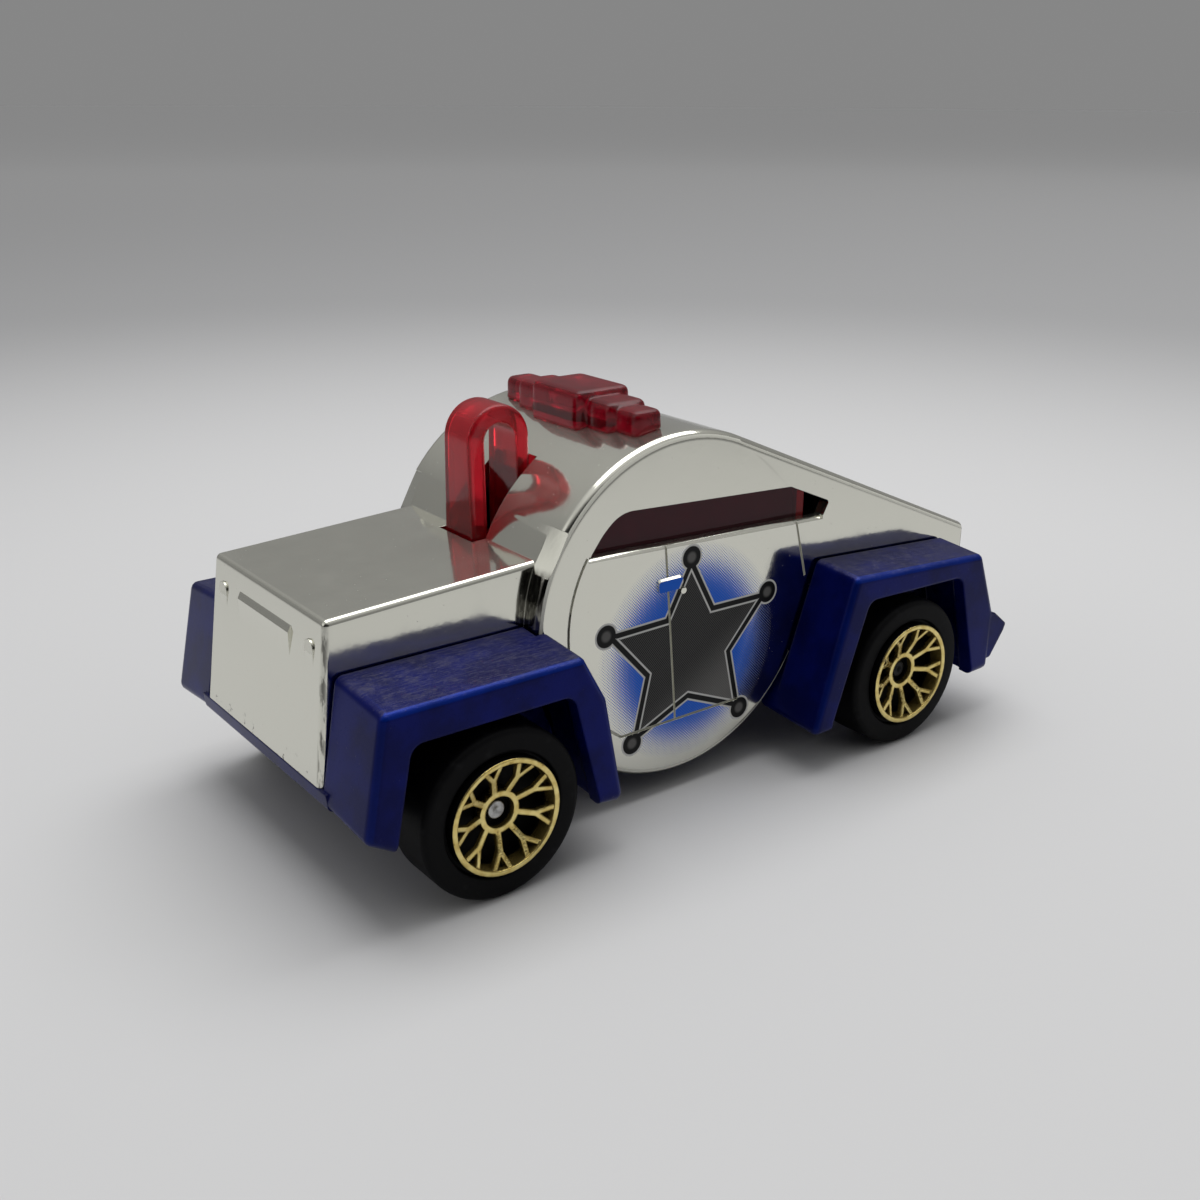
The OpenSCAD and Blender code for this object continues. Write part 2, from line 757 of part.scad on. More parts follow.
// Rim and wheel profiles, radius against distance from the middle of the car
rim_r = rim_d / 2;
rim_proud = 0.45;
rim_face_y = wheel_face_y + rim_proud;
rim_ring_w = 0.46;
rim_edge_r = 0.12;
ring_seat_y = wheel_face_y - 1;
ring_in_r = rim_r - rim_ring_w;
hub_ring_y = rim_face_y - rim_dish;
hub_ring_w = 0.46;
hub_ring_t = 0.5;
hub_ring_r = hub_ring_d / 2;
hub_seat_r = hub_ring_r + 0.1;
hub_seat_y = hub_ring_y - hub_ring_t - press_gap;
head_room_r = axle_head_d / 2 + 0.45;
web_y = wheel_face_y - 1.6;
web_t = 1.2;
web_back_y = web_y - web_t;
hub_r = 2;
bore_r = axle_d / 2 + run_gap;
shoulder_r = 0.55;
groove_r = rim_r + 0.3;
groove_y = wheel_face_y - 0.5;
seat_r = rim_r + press_gap;
seat_y = ring_seat_y - press_gap;
back_wall_r = rim_r + 0.55;

wheel_profile = rounded([
    [bore_r, wheel_back_y], [hub_r, wheel_back_y], [hub_r, web_back_y], [back_wall_r, web_back_y],
    [back_wall_r, wheel_back_y], [tread_r, wheel_back_y], [tread_r, wheel_face_y], [groove_r, wheel_face_y],
    [groove_r, groove_y], [seat_r, groove_y], [seat_r, seat_y], [ring_in_r, seat_y], [ring_in_r, web_y],
    [hub_seat_r, web_y], [hub_seat_r, hub_seat_y], [head_room_r, hub_seat_y], [head_room_r, hub_face_y],
    [bore_r, hub_face_y]
], [0, 0, 0, 0, 0.3, shoulder_r, shoulder_r, 0.25, 0, 0, 0, 0, 0, 0, 0, 0, 0, 0]);

module spun(y_dir) rotate([y_dir > 0 ? -90 : 90, 0, 0]) rotate_extrude($fn = 120) children();

module wheel(x, side) {
    color("black") translate([x, 0, axle_z]) spun(side) polygon(wheel_profile);
}

// Forked spokes in plan: a stem from the hub ring and two arms to the outer ring
fork_r = 3;
fork_spread = 10;

module bar_between(a, b, w) {
    d = b - a;
    translate(a) rotate(atan2(d[1], d[0])) translate([-w / 2, -w / 2]) square([norm(d) + w, w]);
}

module spoke_plan() {
    arm_end_r = rim_r - rim_ring_w / 2;
    for (k = [0 : spoke_count - 1])
        rotate(k * 360 / spoke_count) {
            bar_between([hub_ring_r - hub_ring_w / 2, 0], [fork_r, 0], stem_w);
            for (s = [1, -1])
                bar_between([fork_r, 0], arm_end_r * [cos(fork_spread), s * sin(fork_spread)], arm_w);
        }
}

// The spokes lie in a dished disc that rises from the hub ring to the outer ring
spoke_sink = 0.1;
spoke_t = hub_ring_t - spoke_sink / 2;

// How far each rim is turned at rest, front and rear, in degrees
rim_turn = [4, 11];

module rim(x, side) {
    dish_in_r = hub_ring_r - hub_ring_w / 2;
    dish_out_r = rim_r - rim_ring_w / 2;
    hub_top = hub_ring_y - spoke_sink / 2;
    ring_top = rim_face_y - spoke_sink;
    color("gold")
        translate([x, 0, axle_z])
            rotate([side > 0 ? -90 : 90, 0, 0]) {
                rotate_extrude($fn = 120)
                    polygon(rounded(
                        [[ring_in_r, ring_seat_y], [rim_r, ring_seat_y], [rim_r, rim_face_y],
                         [ring_in_r, rim_face_y]],
                        [0, 0, rim_edge_r, rim_edge_r]));
                rotate_extrude($fn = 96)
                    translate([hub_ring_r - hub_ring_w, hub_ring_y - hub_ring_t])
                        square([hub_ring_w, hub_ring_t]);
                intersection() {
                    translate([0, 0, web_y])
                        linear_extrude(rim_face_y - web_y) rotate(rim_turn[x > 0 ? 0 : 1]) spoke_plan();
                    rotate_extrude($fn = 96)
                        polygon([
                            [dish_in_r, hub_top - spoke_t], [dish_out_r, ring_top - spoke_t],
                            [dish_out_r, ring_top], [dish_in_r, hub_top]
                        ]);
                }
            }
}

module base_rivets() {
    head_r = rivet_d / 2 + 0.75;
    head_h = 0.55;
    tip_gap = 1;
    color("darkgray")
        for (x = [front_post_x, rear_post_x])
            translate([x, 0, plate_z]) {
                translate([0, 0, -head_h]) cylinder(r = head_r, h = head_h, $fn = 48);
                cylinder(d = rivet_d, h = plate_t + post_bore_h - tip_gap, $fn = 48);
            }
}

body_shell();
base_chassis();
window_insert();
light_bar();
cord_loop();
axle(front_axle_x);  // front_axle
axle(rear_axle_x);  // rear_axle
wheel(front_axle_x, 1);  // wheel_front_left
wheel(front_axle_x, -1);  // wheel_front_right
wheel(rear_axle_x, 1);  // wheel_rear_left
wheel(rear_axle_x, -1);  // wheel_rear_right
rim(front_axle_x, 1);  // rim_front_left
rim(front_axle_x, -1);  // rim_front_right
rim(rear_axle_x, 1);  // rim_rear_left
rim(rear_axle_x, -1);  // rim_rear_right
base_rivets();
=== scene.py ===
import bpy
import json
import math
from mathutils import Euler, Matrix, Vector

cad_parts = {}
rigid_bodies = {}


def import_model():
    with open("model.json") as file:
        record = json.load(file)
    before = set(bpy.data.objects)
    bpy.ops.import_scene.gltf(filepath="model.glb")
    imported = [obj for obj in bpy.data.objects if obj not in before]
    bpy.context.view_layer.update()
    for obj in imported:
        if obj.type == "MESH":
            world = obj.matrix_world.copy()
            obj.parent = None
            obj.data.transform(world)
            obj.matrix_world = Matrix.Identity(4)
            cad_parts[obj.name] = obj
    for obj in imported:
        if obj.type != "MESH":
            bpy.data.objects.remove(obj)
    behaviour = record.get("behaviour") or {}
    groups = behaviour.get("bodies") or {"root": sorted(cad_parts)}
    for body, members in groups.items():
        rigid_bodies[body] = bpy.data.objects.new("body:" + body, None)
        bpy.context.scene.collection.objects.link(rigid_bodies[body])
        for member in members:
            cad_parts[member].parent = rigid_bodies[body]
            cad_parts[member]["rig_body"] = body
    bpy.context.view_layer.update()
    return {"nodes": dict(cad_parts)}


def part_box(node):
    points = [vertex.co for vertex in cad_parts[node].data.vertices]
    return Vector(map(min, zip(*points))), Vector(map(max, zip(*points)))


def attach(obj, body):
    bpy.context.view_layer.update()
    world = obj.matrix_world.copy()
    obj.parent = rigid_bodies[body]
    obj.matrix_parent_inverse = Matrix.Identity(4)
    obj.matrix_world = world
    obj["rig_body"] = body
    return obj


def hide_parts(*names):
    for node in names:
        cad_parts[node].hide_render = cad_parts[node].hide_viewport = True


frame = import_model()
nodes = frame["nodes"]
mm = 0.001
print("frame loaded:", len(nodes), "nodes")

# camera, fitted to the photograph by the wheels and the hood's edges
photoView = {
    "place": (73.15, 93.61, 58.07),  # mm
    "yaw": 232.67,  # degrees from +X
    "pitch": -20.47,
    "roll": 0.29,
    "lens": 41.43,
    "sensor": 36.0,
    "clip": (0.005, 20),  # m
}


def makeCamera(look):
    bpy.ops.object.camera_add(location=[c * mm for c in look["place"]])
    camera = bpy.context.object
    turn = Euler((0, 0, math.radians(look["yaw"] - 90))).to_matrix()
    turn = turn @ Euler((math.radians(90 + look["pitch"]), 0, 0)).to_matrix()
    turn = turn @ Euler((0, 0, math.radians(look["roll"]))).to_matrix()
    camera.rotation_euler = turn.to_euler()
    camera.data.sensor_width = look["sensor"]
    camera.data.lens = look["lens"]
    camera.data.clip_start = look["clip"][0]
    camera.data.clip_end = look["clip"][1]
    bpy.context.scene.camera = camera


bpy.context.scene.view_settings.view_transform = "Standard"
makeCamera(photoView)
print("camera placed")


# shader maths: a socket that adds Math nodes when it is reckoned with
class Value:
    def __init__(self, finish, socket):
        self.finish = finish
        self.socket = socket

    def __add__(self, other):
        return self.finish.math("ADD", self, other)

    def __radd__(self, other):
        return self.finish.math("ADD", other, self)

    def __sub__(self, other):
        return self.finish.math("SUBTRACT", self, other)

    def __rsub__(self, other):
        return self.finish.math("SUBTRACT", other, self)

    def __mul__(self, other):
        return self.finish.math("MULTIPLY", self, other)

    def __pow__(self, other):
        return self.finish.math("POWER", self, other)

    def __lt__(self, other):
        return self.finish.math("LESS_THAN", self, other)

    def __gt__(self, other):
        return self.finish.math("GREATER_THAN", self, other)

    def __abs__(self):
        return self.finish.math("ABSOLUTE", self)


class Finish:
    bevelSamples = 6

    def __init__(self, name, tree=None):
        self.material = None
        self.tree = tree
        if tree is None:
            self.material = bpy.data.materials.new(name)
            self.material.use_nodes = True
            self.tree = self.material.node_tree
        self.tree.nodes.clear()

    def node(self, kind, settings=None, sockets=None, out=0):
        made = self.tree.nodes.new(kind)
        for key, value in (settings or {}).items():
            if key == "stops":
                ramp = made.color_ramp
                while len(ramp.elements) < len(value):
                    ramp.elements.new(1)
                for element, (place, colour) in zip(ramp.elements, value):
                    element.position = place
                    element.color = colour
            else:
                setattr(made, key, value)
        for key, value in (sockets or {}).items():
            self.feed(made.inputs[key], value)
        if made.outputs:
            return Value(self, made.outputs[out])

    def feed(self, socket, value):
        if isinstance(value, Value):
            self.tree.links.new(value.socket, socket)
        else:
            socket.default_value = value

    def math(self, operation, *values):
        return self.node("ShaderNodeMath", {"operation": operation}, dict(enumerate(values)))

    def least(self, a, b):
        return self.math("MINIMUM", a, b)

    def most(self, a, b):
        return self.math("MAXIMUM", a, b)

    def length(self, a, b):
        return self.math("SQRT", a * a + b * b)

    def dot(self, a, b):
        settings = {"operation": "DOT_PRODUCT"}
        return self.node("ShaderNodeVectorMath", settings, {0: a, 1: b}, out="Value")

    # 0 below low, 1 above high, soft between
    def ease(self, value, low, high):
        sockets = {0: value, 1: low, 2: high, 3: 0.0, 4: 1.0}
        return self.node("ShaderNodeMapRange", {"interpolation_type": "SMOOTHSTEP"}, sockets)

    def blend(self, share, a, b):
        return self.node("ShaderNodeMix", {"data_type": "RGBA"}, {0: share, 6: a, 7: b}, out=2)

    # Object coordinates in millimetres
    def place(self):
        raw = self.node("ShaderNodeTexCoord", out="Object")
        return self.node("ShaderNodeVectorMath", {"operation": "SCALE"}, {0: raw, "Scale": 1 / mm})

    # which way the surface faces, along X, Y and Z
    def facing(self):
        return self.split(self.node("ShaderNodeTexCoord", out="Normal"))

    def split(self, vector):
        x = self.node("ShaderNodeSeparateXYZ", None, {0: vector}, out=0)
        made = x.socket.node
        return x, Value(self, made.outputs[1]), Value(self, made.outputs[2])

    def noise(self, place, scale, detail=3.0, rough=0.55):
        sockets = {"Vector": place, "Scale": scale, "Detail": detail, "Roughness": rough}
        return self.node("ShaderNodeTexNoise", None, sockets)

    # small round specks, one per cell, kept in a share of the cells
    def specks(self, place, scale, size, share):
        cell = self.node("ShaderNodeTexVoronoi", None, {"Vector": place, "Scale": scale})
        made = cell.socket.node
        pick = self.split(Value(self, made.outputs["Color"]))[0]
        return (1 - self.ease(cell, size * 0.5, size)) * (pick < share)

    # fine scratches: noise stretched along one direction
    def scratches(self, place, turn, scale, width):
        sockets = {"Vector": place, "Rotation": turn, "Scale": scale}
        bent = self.node("ShaderNodeMapping", None, sockets)
        lines = self.noise(bent, 1.0, 2.0, 0.5)
        return 1 - self.ease(abs(lines - 0.5), 0.0, width)

    # height in mm; the rounding softens edges by the given radius
    def relief(self, height, strength, rounding):
        settings = {"samples": self.bevelSamples}
        normal = self.node("ShaderNodeBevel", settings, {"Radius": rounding * mm})
        sockets = {"Strength": strength, "Distance": mm, "Height": height, "Normal": normal}
        return self.node("ShaderNodeBump", None, sockets)

    def surface(self, sockets):
        shader = self.node("ShaderNodeBsdfPrincipled", None, sockets)
        self.node("ShaderNodeOutputMaterial", None, {"Surface": shader})
        return self.material


# a police toy's common star with ball tips, printed over a soft blue disc on both sides; mm
starPrint = {
    "centre": (1.1, 12.77),  # x, z
    "half": [(0, 8.51), (2.65, 3.62), (8.93, 3.52), (4.75, -1.1), (6.1, -6.88), (0, -4.3)],
    "ball": 0.95,
    "pearl": (0.62, 0.3),  # the ball's paler middle, from rim to full
    "outline": 0.42,
    "keyline": 0.17,
    "soft": 0.05,  # how far the ink's edge bleeds
    "screen": 24.0,  # halftone, radians per mm
    "rowsFrom": 0.57,
    "rowShare": 0.35,
    "sheenWay": (-0.55, -0.85),
    "sheen": (0.5, 6.5),
    "discFade": (5.2, 10.4),
    "dotEdge": (-0.25, 0.2),
    "discEdge": (0.02, 0.12),
    "sideY": 11.7,
    "sideFacing": 0.8,
    "skin": 0.03,  # what still counts as on the side
    "doorLine": 0.5,  # deeper than the sunk lines
    "raised": 0.1,  # less than handle and latch stand out
    "handle": (3.45, 19.45, 1.3, 0.58),  # centre and half size, printed solid blue
    "latch": (2.05, 18.6, 0.55, 0.24),  # bare metal
    "ink": (0.003, 0.003, 0.0035, 1),
    "steelDark": (0.012, 0.012, 0.0125, 1),
    "steelPale": (0.24, 0.235, 0.225, 1),
    "pale": (0.62, 0.62, 0.6, 1),
    "blue": (0.004, 0.115, 0.66, 1),
    "roughness": 0.32,
}


# distances from the star's edge, below 0 inside, and from the nearest ball's centre
def starEdges(finish, x, z, star):
    hair = 1e-4
    u = abs(x - star["centre"][0])
    v = z - star["centre"][1]
    angle = finish.math("ARCTAN2", v, u)
    half = star["half"]
    edge = None
    for (ax, az), (bx, bz) in zip(half, half[1:]):
        length = math.hypot(bx - ax, bz - az)
        nx = (az - bz) / length
        nz = (bx - ax) / length
        away = (u - ax) * nx + (v - az) * nz
        top = math.atan2(az, ax)
        low = math.atan2(bz, bx)
        part = away * (angle < top + hair) * (angle > low + hair)
        edge = part if edge is None else edge + part
    balls = None
    for bx, bz in half[0::2]:
        away = finish.math("SQRT", (u - bx) ** 2 + (v - bz) ** 2)
        balls = away if balls is None else finish.least(balls, away)
    return u, v, edge, balls


def inBox(x, z, box):
    return (abs(x - box[0]) < box[2]) * (abs(z - box[1]) < box[3])


# the print's layers from the lowest up, with their tones
def starLayers(finish, x, y, z, star):
    u, v, edge, balls = starEdges(finish, x, z, star)
    soft = star["soft"]
    ball = star["ball"]
    keyline = star["keyline"]
    innerEdge = -star["outline"]
    fillEdge = innerEdge - keyline
    inkEdge = finish.least(edge, balls - ball)
    halo = 1 - finish.ease(inkEdge, keyline, keyline + soft)
    ink = 1 - finish.ease(inkEdge, 0.0, soft)
    offBalls = finish.ease(balls, ball, ball + soft)
    inner = (1 - finish.ease(edge, innerEdge - soft, innerEdge)) * offBalls
    fill = (1 - finish.ease(edge, fillEdge - soft, fillEdge)) * offBalls
    pearl = finish.ease(balls, *star["pearl"])

    # halftone: fine diagonal rows in the grey, dots in the fading blue
    rising = finish.math("SINE", (x + z) * star["screen"])
    falling = finish.math("SINE", (x - z) * star["screen"])
    rows = finish.ease(rising * 0.5 + 0.5, star["rowsFrom"], 1.0) * star["rowShare"]
    wayX, wayZ = star["sheenWay"]
    sheen = finish.ease((x - star["centre"][0]) * wayX + v * wayZ, *star["sheen"])
    steel = finish.blend(rows + sheen * 0.5, star["steelDark"], star["steelPale"])
    cover = 1 - finish.ease(finish.length(u, v), *star["discFade"])
    dots = (rising + falling) * 0.25 + 0.5
    disc = finish.ease(cover - dots, *star["dotEdge"]) * finish.ease(cover, *star["discEdge"])
    raised = abs(y) > star["sideY"] + star["raised"]
    disc = finish.most(disc, inBox(x, z, star["handle"]) * raised)
    bare = inBox(x, z, star["latch"]) * raised

    layers = [
        (disc, star["blue"]),
        (halo, star["pale"]),
        (ink, star["ink"]),
        (inner, star["pale"]),
        (fill, steel),
        (pearl * 0.5, star["steelPale"]),
    ]
    printed = finish.most(finish.most(disc, halo), finish.most(fill, inner))
    return layers, printed, bare


# noises are (scale, detail, roughness) and specks (scale, size, share), here and below
platedShell = {
    "node": "body_shell",
    "name": "plated_shell",
    "slot": "bright_plating",
    "smooth": 22,  # degrees
    "colour": (0.74, 0.735, 0.655, 1),
    "worn": (0.5, 0.48, 0.43, 1),
    # colour of the nicks, and of the painted dark reflection in the hood and drum corner
    "nick": (0.06, 0.055, 0.05, 1),
    "film": 0.09,  # dull film on what faces up
    "filmFacing": (0.15, 0.85),
    "roughness": 0.07,
    "rounding": 0.06,  # mm
    "grain": (9.0, 4.0),
    "cloud": (0.35, 3.0),
    "ripple": (1.3, 2.0),
    "chips": (1.1, 5.0, 0.7),
    "chipEdge": (0.6, 0.66),
    "streak": (2.0, 2.0, 0.35),
    "rubbed": (1.0, 4.0, 0.65),
    "rubbedEdge": (0.47, 0.6),
    "dust": (2.6, 0.14, 0.12),
    "pits": (1.1, 0.1, 0.12),
    "nose": (35.2, 9.9, 0.12),  # the nose's face: x at height z, lean
    "flank": (10.3, 9.9, 0.048),  # the hood's side: y at height z, lean
    "cornerBand": (-0.6, -0.15),  # worn edge between the two
    "footBand": (-0.4, -0.1),
    "footHeight": (10.3, 11.4),
    "footSide": 0.2,
    "grimeSide": (0.0, 0.15),  # painted dark reflection in the corner of hood and drum
    "grimeFacing": 0.55,
    "grimeFrom": 13.5,
    "grimeTop": (22.2, 23.0),
    "grimeEdge": (0.4, 0.6),
    "drum": (1.8, 16.9, 15.05),  # x, z and radius
    "facetAngle": 29.0,  # degrees up the drum's front
    "facetLean": 13.0,
    "facetY": 9.74,  # where the facet meets the hood's side
    "facetSize": (3.9, 4.0, 2.0),
    "sillFront": (11.777, 23.2),  # x, z
    "sillFall": 0.0419,
    "sillY": (11.7, 0.01),  # place and how near counts
    "sillEdge": (0.17, 0.04),  # outer edge below the sill, and how near counts
    "sillReach": (-14.4, 11.877),
    "sillDrop": 0.13,
    "handleY": 11.85,
    "handleTop": 19.7,
    "handleDrop": 0.17,
    "stud": (7.65, 19.9, 0.8),  # y, z and reach
    "studProud": 0.04,
    "studSink": 0.05,
    "studPatch": (7.65, 19.8, 0.75, 1.1),  # where the plating is duller
    "studPatchProud": 0.02,
}


# how far a place lies outside a leaning face
def outside(along, z, face):
    place, height, lean = face
    return along - place + (z - height) * lean


def platedFinish(look, star):
    finish = Finish("bright_plating_finish")
    place = finish.place()
    x, y, z = finish.split(place)
    faceX, faceY, faceZ = finish.facing()
    grain = finish.noise(place, *look["grain"])
    cloud = finish.noise(place, *look["cloud"])
    dust = finish.specks(place, *look["dust"])
    pits = finish.specks(place, *look["pits"])

    layers, printed, bare = starLayers(finish, x, y, z, star)
    facesOut = abs(faceY) > star["sideFacing"]
    sideY = star["sideY"] - star["skin"]
    onSide = (abs(y) > sideY) * facesOut * (1 - bare)
    printed = printed * onSide
    # painted highlight: sunk lines are turned non-metal below, so the plating colour shows in them
    # as a pale line
    sunk = (abs(y) < sideY) * (abs(y) > star["sideY"] - star["doorLine"]) * facesOut
    film = finish.ease(faceZ, *look["filmFacing"]) * (0.7 + cloud * 0.6) * look["film"]

    # wear on the nose: rubbed corners, a chipped foot, dull studs; and a painted dark reflection
    # in the corner of hood and drum
    ahead = outside(x, z, look["nose"])
    flank = outside(abs(y), z, look["flank"])
    corner = finish.ease(ahead, *look["cornerBand"]) * finish.ease(flank, *look["cornerBand"])
    foot = finish.ease(ahead, *look["footBand"]) * (1 - finish.ease(z, *look["footHeight"]))
    foot = foot * (flank < look["footSide"])
    chips = finish.noise(place, *look["chips"])
    streak = finish.node("ShaderNodeMapping", None, {"Vector": place, "Scale": look["streak"]})
    rubbed = finish.noise(streak, *look["rubbed"])
    nicks = corner * finish.ease(rubbed, *look["rubbedEdge"]) * 0.8
    nicks = nicks + foot * finish.ease(chips, *look["chipEdge"])
    stud = inBox(abs(y), z, look["studPatch"]) * (ahead > look["studPatchProud"])
    # painted shade: the drum's front beside the hood's side takes the dark nick colour, standing
    # in for a dark reflection
    paintedCornerShade = finish.ease(flank, *look["grimeSide"]) * (faceX > look["grimeFacing"])
    paintedCornerShade = paintedCornerShade * (x > look["grimeFrom"]) * (1 - finish.ease(z, *look["grimeTop"]))
    paintedCornerShade = paintedCornerShade * (0.6 + finish.ease(rubbed, *look["grimeEdge"]) * 0.35)

    colour = finish.blend(pits * 0.6 + dust * 0.3, look["colour"], look["worn"])
    colour = finish.blend(finish.least(nicks, 0.85), colour, look["nick"])
    colour = finish.blend(paintedCornerShade, colour, look["nick"])
    for share, tone in layers:
        colour = finish.blend(share * onSide, colour, tone)

    roughness = look["roughness"] + grain * 0.05 + finish.ease(cloud, 0.5, 0.75) * 0.05
    roughness = roughness + dust * 0.25 + stud * 0.3
    roughness = roughness * (1 - printed) + printed * star["roughness"]
    ripple = finish.noise(place, *look["ripple"])
    height = cloud * 0.06 + ripple * 0.006 + grain * 0.0008 + dust * 0.004
    return finish.surface({
        "Base Color": colour,
        # the sunk lines lose their metal here, the painted highlight
        "Metallic": (1 - finish.most(printed, sunk)) * (1 - film),
        "Specular IOR Level": 0.15,
        "Roughness": roughness,
        "Normal": finish.relief(height, 0.35, look["rounding"]),
    })


# what the photograph shows beyond the solid: a facet at each hood corner, a steeper sill and
# handle top, flatter studs
def shapeShell(piece, look):
    for side in (1, -1):
        cutFacet(piece, side, look)
    drop = (0, 0, -look["sillDrop"])
    shift(piece, "sill", drop, lambda x, y, z: onSillEdge(x, y, z, look))
    drop = (0, 0, -look["handleDrop"])
    shift(piece, "handle", drop, lambda x, y, z: y > look["handleY"] and z > look["handleTop"])
    sink = (-look["studSink"], 0, 0)
    shift(piece, "studs", sink, lambda x, y, z: onStud(x, y, z, look))


def cutFacet(piece, side, look):
    angle = math.radians(look["facetAngle"])
    lean = math.radians(look["facetLean"])
    outward = Vector((math.cos(angle), 0, math.sin(angle)))
    along = Vector((math.sin(angle), 0, -math.cos(angle))) * side
    across = Vector((0, side, 0))
    normal = outward * math.cos(lean) + across * math.sin(lean)
    slope = across * math.cos(lean) - outward * math.sin(lean)
    drumX, drumZ, radius = look["drum"]
    start = Vector((drumX, look["facetY"] * side, drumZ)) + outward * radius
    length, width, height = look["facetSize"]
    bpy.ops.mesh.primitive_cube_add(size=1)
    cutter = bpy.context.object
    turn = Matrix((along, slope, normal)).transposed()
    cutter.rotation_euler = turn.to_euler()
    cutter.scale = (length * mm, width * mm, height * mm)
    cutter.location = (start + slope * (width / 2) + normal * (height / 2)) * mm
    cut = piece.modifiers.new("facet", "BOOLEAN")
    cut.operation = "DIFFERENCE"
    cut.solver = "EXACT"
    cut.object = cutter
    bpy.context.view_layer.objects.active = piece
    bpy.ops.object.modifier_apply(modifier=cut.name)
    bpy.data.objects.remove(cutter)


def onSillEdge(x, y, z, look):
    frontX, frontZ = look["sillFront"]
    below, nearZ = look["sillEdge"]
    sideY, nearY = look["sillY"]
    rear, front = look["sillReach"]
    edgeZ = frontZ - (frontX - x) * look["sillFall"] - below
    return abs(y - sideY) < nearY and abs(z - edgeZ) < nearZ and rear < x < front


def onStud(x, y, z, look):
    studY, studZ, reach = look["stud"]
    proud = outside(x, z, look["nose"]) > look["studProud"]
    return abs(y - studY) < reach and abs(z - studZ) < reach and proud


def choose(piece):
    bpy.ops.object.select_all(action="DESELECT")
    piece.select_set(True)
    bpy.context.view_layer.objects.active = piece


def shift(piece, name, way, chosen):
    choose(piece)
    bpy.ops.object.mode_set(mode="EDIT")
    bpy.ops.mesh.select_mode(type="VERT")
    bpy.ops.mesh.select_all(action="DESELECT")
    bpy.ops.object.mode_set(mode="OBJECT")
    count = 0
    for vertex in piece.data.vertices:
        x, y, z = vertex.co / mm
        if chosen(x, abs(y), z):
            vertex.select = True
            count += 1
    bpy.ops.object.mode_set(mode="EDIT")
    bpy.ops.transform.translate(value=[c * mm for c in way])
    bpy.ops.object.mode_set(mode="OBJECT")
    print(name, "shifted at", count, "points")


blueBase = {
    "node": "base_chassis",
    "name": "blue_base",
    "slot": "blue_base",
    "smooth": 30,
    "colour": (0.001, 0.005, 0.115, 1),
    "deep": (0.0005, 0.0025, 0.065, 1),
    "dust": (0.085, 0.082, 0.12, 1),
    "edge": (0.001, 0.045, 0.42, 1),  # painted highlight: paler blue on the rounded top and corner edges
    "topEdge": (0.12, 0.36),
    "cornerEdge": (0.2, 0.42),
    "roughness": 0.24,
    "rounding": 0.3,
    "grain": (12.0, 3.0),
    "cloud": (0.25, 4.0),
    "patches": (0.8, 5.0, 0.65),
    "patchEdge": (0.48, 0.7),
    "specks": (2.2, 0.17, 0.2),
    "topFacing": (0.55, 0.9),
    "scratches": ((0.0, 0.0, 0.5), (0.35, 5.0, 1.0), 0.02),  # turn, scale, width
    "crossScratches": ((0.0, 0.0, -0.9), (0.3, 4.0, 1.0), 0.016),
}


def blueFinish(look):
    finish = Finish("blue_base_finish")
    place = finish.place()
    ahead, sideways, up = finish.facing()
    cloud = finish.noise(place, *look["cloud"])
    grain = finish.noise(place, *look["grain"])
    top = finish.ease(up, *look["topFacing"])
    specks = finish.specks(place, *look["specks"])
    lines = finish.scratches(place, *look["scratches"])
    lines = finish.most(lines, finish.scratches(place, *look["crossScratches"]))
    patches = finish.ease(finish.noise(place, *look["patches"]), *look["patchEdge"])
    scuff = top * (0.08 + patches * 0.3 + lines * 0.5) + specks * (0.12 + top * 0.4)
    colour = finish.blend(finish.ease(cloud, 0.35, 0.65), look["deep"], look["colour"])
    colour = finish.blend(finish.least(scuff, 0.85), colour, look["dust"])
    # painted highlight: the rounded top-outer and front corner edges are paled towards the edge
    # blue, chosen by which way they face
    edge = finish.ease(abs(sideways) * up, *look["topEdge"])
    edge = edge + finish.ease(abs(ahead * sideways), *look["cornerEdge"]) * 0.3
    colour = finish.blend(finish.least(edge * (0.2 + cloud * 0.24), 0.5), colour, look["edge"])
    height = grain * 0.01 + lines * top * -0.01 + specks * 0.02
    return finish.surface({
        "Base Color": colour,
        "Roughness": look["roughness"] + grain * 0.1 + scuff * 0.25,
        "Metallic": 0.35,
        "Coat Weight": 0.04,
        "Coat Roughness": 0.2,
        "Specular IOR Level": 0.12,
        "Normal": finish.relief(height, 0.5, look["rounding"]),
    })


clearRed = {
    "pieces": {  # name, colour
        "window_insert": ("red_windows", (0.1, 0.006, 0.018, 1)),
        "light_bar": ("red_light_bar", (0.42, 0.006, 0.024, 1)),
        "cord_loop": ("red_cord_loop", (0.74, 0.018, 0.036, 1)),
    },
    "slot": "clear_red",
    "smooth": 32,
    "deeper": 0.85,
    "clear": {"window_insert": 0.45, "light_bar": 0.82, "cord_loop": 0.86},
    "haze": {"window_insert": 0.06, "light_bar": 0.1, "cord_loop": 0.09},
    "rounding": {"window_insert": 0.1, "light_bar": 0.3, "cord_loop": 0.2},
    "gloss": 0.03,
    "index": 1.49,
    "grain": (10.0, 2.0),
    "cloud": (0.6, 3.0),
    "topFacing": (0.5, 0.9),
    "endStrip": (0.42, 0.004, 0.012, 1),  # painted glow: the pane's rear end is coloured a brighter red
    "endStripFade": (0.75, 1.0),  # mm from the end
    "barGrid": 0.13,  # mm
    "barSoftness": 22,
    "barFoot": (1.8, 16.9, 15.5),  # axis and reach of the roof, below it the foot stays sharp
}


